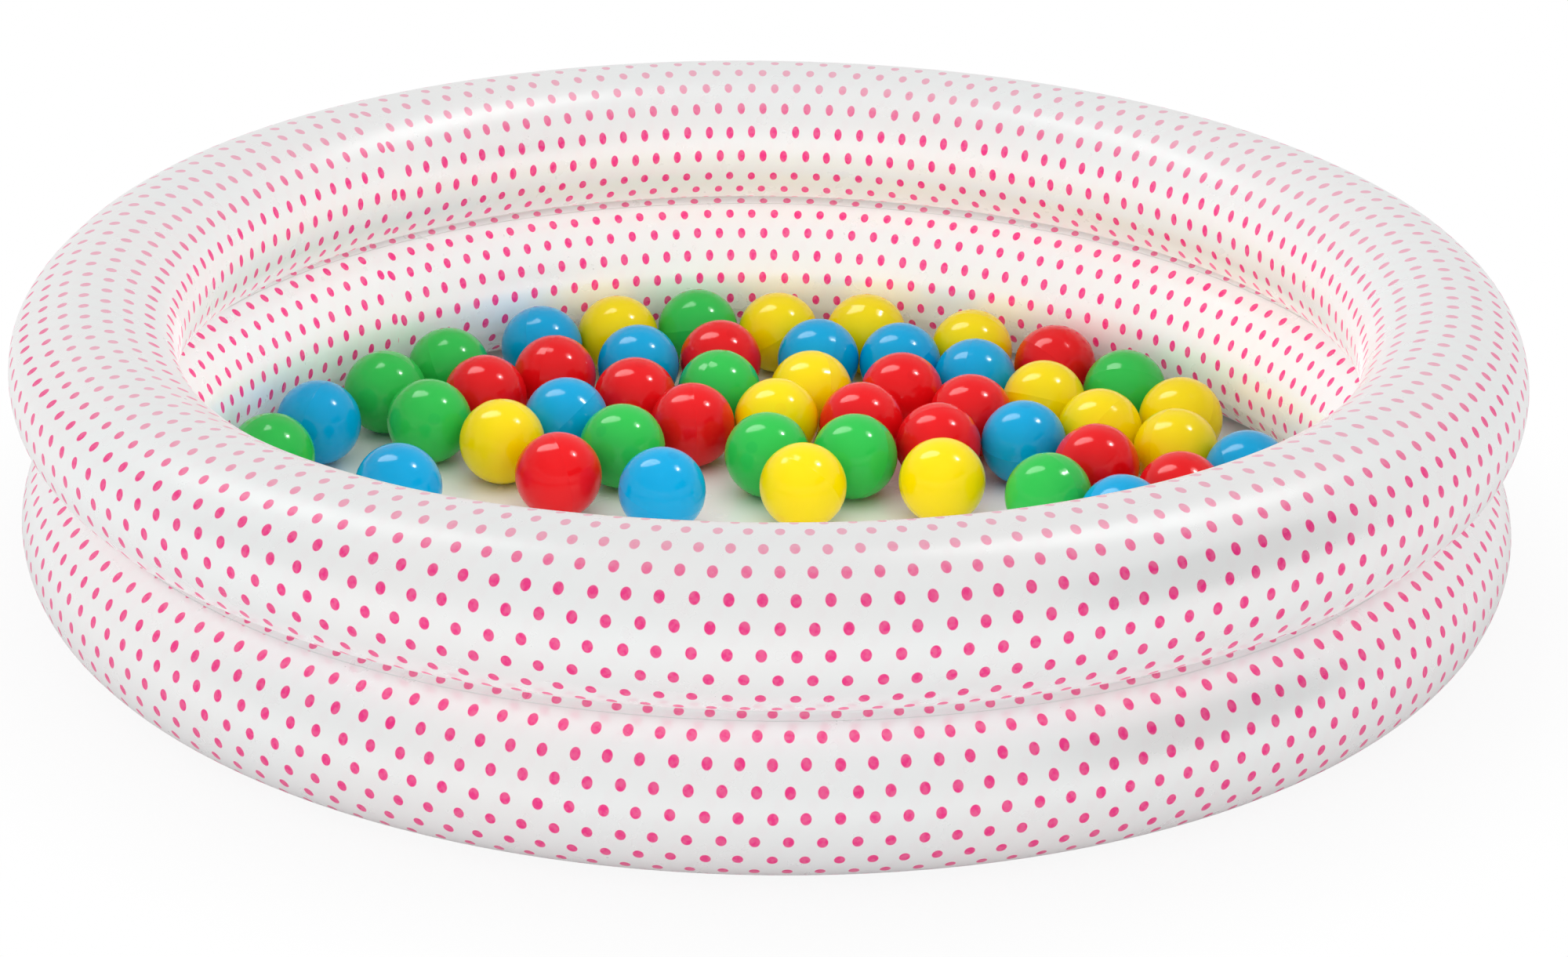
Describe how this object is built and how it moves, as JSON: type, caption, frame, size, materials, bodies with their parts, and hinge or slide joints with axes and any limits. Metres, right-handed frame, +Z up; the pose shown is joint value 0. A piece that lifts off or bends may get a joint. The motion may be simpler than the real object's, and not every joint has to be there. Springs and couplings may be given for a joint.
{
  "type": "kiddie pool",
  "caption": "Round inflatable paddling pool: two stacked air rings with a dotted print, a film floor, a valve on each ring, and loose play balls.",
  "frame": {"origin": "middle of the pool, on the ground", "axes": "+Z up, the front of the pool towards -Y, +X to the right as seen from the front"},
  "size_m": [1.16, 1.16, 0.2454],
  "materials": {
    "pearl_film": "pearly white vinyl film printed with rows of small pink dots",
    "floor_film": "plain white vinyl film",
    "valve_soft": "soft white vinyl",
    "valve_clear": "soft clear vinyl",
    "ball_red": "glossy moulded red",
    "ball_yellow": "glossy moulded yellow",
    "ball_blue": "glossy moulded blue",
    "ball_green": "glossy moulded green"
  },
  "bodies": {
    "pool": {"upper_ring": "pearl_film", "lower_ring": "pearl_film", "floor_sheet": "floor_film", "upper_valve_flange": "valve_soft", "lower_valve_flange": "valve_soft"},
    "upper_stem": {"upper_valve_stem": "valve_clear"},
    "upper_plug": {"upper_valve_plug": "valve_clear"},
    "upper_flap": {"upper_valve_flap": "valve_soft"},
    "lower_stem": {"lower_valve_stem": "valve_clear"},
    "lower_plug": {"lower_valve_plug": "valve_clear"},
    "lower_flap": {"lower_valve_flap": "valve_soft"},
    "balls": {"ball_01": "ball_blue", "ball_02": "ball_yellow", "ball_03": "ball_green", "ball_04": "ball_yellow", "ball_05": "ball_yellow", "ball_06": "ball_yellow", "ball_07": "ball_red", "ball_08": "ball_green", "ball_09": "ball_green", "ball_10": "ball_red", "ball_11": "ball_blue", "ball_12": "ball_red", "ball_13": "ball_blue", "ball_14": "ball_blue", "ball_15": "ball_blue", "ball_16": "ball_yellow", "ball_17": "ball_green", "ball_18": "ball_red", "ball_19": "ball_red", "ball_20": "ball_green", "ball_21": "ball_yellow", "ball_22": "ball_red", "ball_23": "ball_red", "ball_24": "ball_yellow", "ball_25": "ball_yellow", "ball_26": "ball_blue", "ball_27": "ball_green", "ball_28": "ball_blue", "ball_29": "ball_red", "ball_30": "ball_yellow", "ball_31": "ball_red", "ball_32": "ball_red", "ball_33": "ball_blue", "ball_34": "ball_yellow", "ball_35": "ball_green", "ball_36": "ball_yellow", "ball_37": "ball_green", "ball_38": "ball_green", "ball_39": "ball_green", "ball_40": "ball_red", "ball_41": "ball_blue", "ball_42": "ball_blue", "ball_43": "ball_red", "ball_44": "ball_blue", "ball_45": "ball_yellow", "ball_46": "ball_yellow", "ball_47": "ball_green", "ball_48": "ball_blue", "ball_49": "ball_red"}
  },
  "joints": [
    {"name": "upper_stem_pull", "type": "slide", "parent": "pool", "child": "upper_stem", "axis": [-0.3827, 0.9239, 0], "range_m": [0, 0.011]},
    {"name": "upper_plug_pull", "type": "slide", "parent": "upper_stem", "child": "upper_plug", "axis": [-0.3827, 0.9239, 0], "range_m": [0, 0.009]},
    {"name": "upper_flap_swing", "type": "hinge", "parent": "upper_stem", "child": "upper_flap", "pos_m": [-0.21679, 0.52338, 0.18725], "axis": [-0.9239, -0.3827, 0], "range_deg": [0, 60]},
    {"name": "lower_stem_pull", "type": "slide", "parent": "pool", "child": "lower_stem", "axis": [-0.3827, 0.9239, 0], "range_m": [0, 0.011]},
    {"name": "lower_plug_pull", "type": "slide", "parent": "lower_stem", "child": "lower_plug", "axis": [-0.3827, 0.9239, 0], "range_m": [0, 0.009]},
    {"name": "lower_flap_swing", "type": "hinge", "parent": "lower_stem", "child": "lower_flap", "pos_m": [-0.21535, 0.51991, 0.0647], "axis": [-0.9239, -0.3827, 0], "range_deg": [0, 60]},
    {"name": "balls_lift", "type": "slide", "parent": "pool", "child": "balls", "axis": [0, 0, 1], "range_m": [0, 0.26]}
  ]
}
